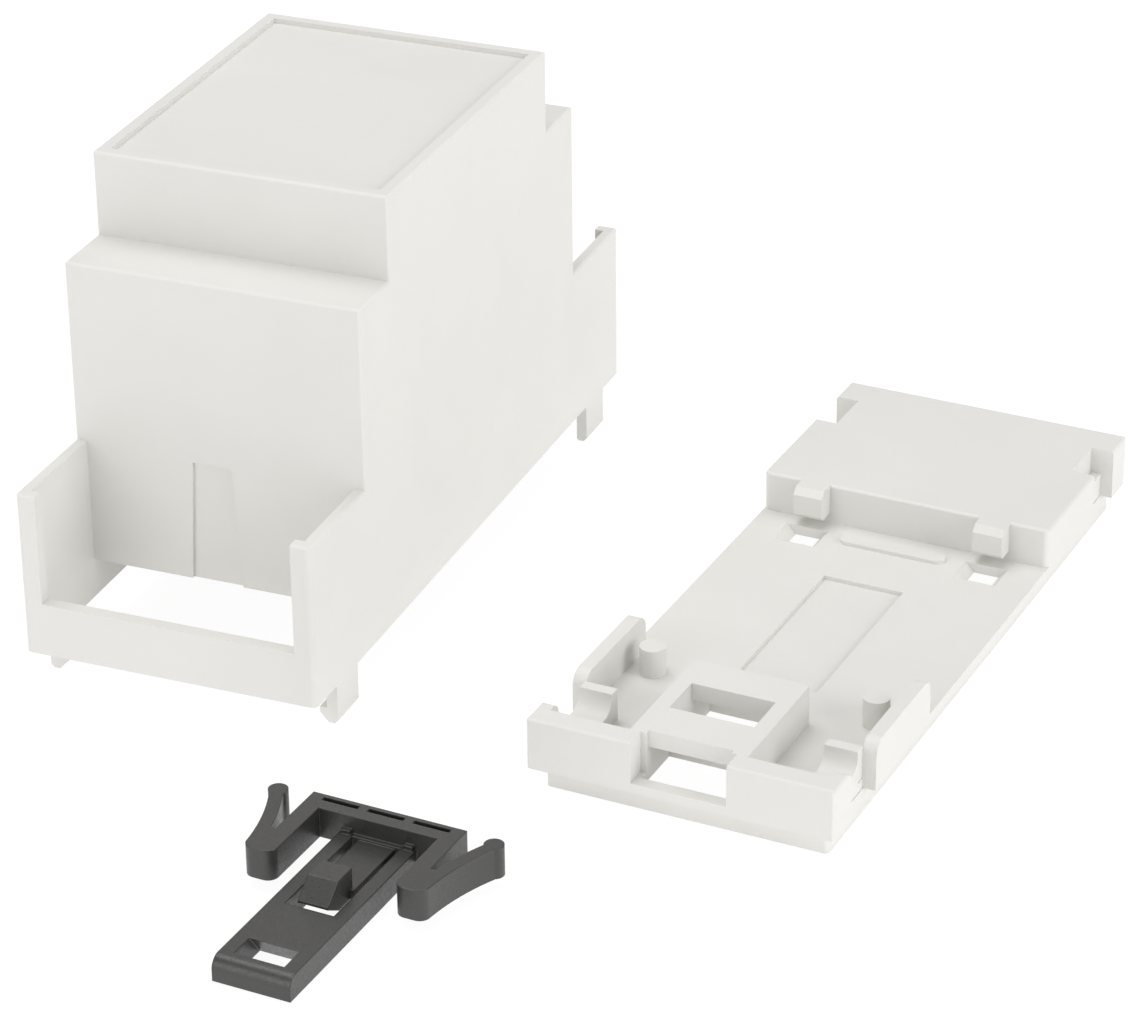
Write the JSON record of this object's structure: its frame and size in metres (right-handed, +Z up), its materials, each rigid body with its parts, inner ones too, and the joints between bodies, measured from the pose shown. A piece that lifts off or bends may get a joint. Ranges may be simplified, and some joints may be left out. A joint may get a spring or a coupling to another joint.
{
  "type": "din rail enclosure",
  "caption": "Empty plastic rail-mount module housing taken apart: stepped clip-on cover, flat base with rail seat, and sliding spring latch.",
  "frame": {"origin": "middle of the laid-out group's box, on the surface the three mouldings rest on", "axes": "+X across the cover's width, +Y along its length, +Z up"},
  "size_m": [0.1021, 0.136, 0.0562],
  "materials": {
    "light_grey_plastic": "fine matt moulded texture, light warm grey",
    "charcoal_plastic": "semi-matt moulded charcoal"
  },
  "bodies": {
    "root": {"cover": "light_grey_plastic", "base_plate": "light_grey_plastic", "rail_latch": "charcoal_plastic"}
  },
  "joints": []
}
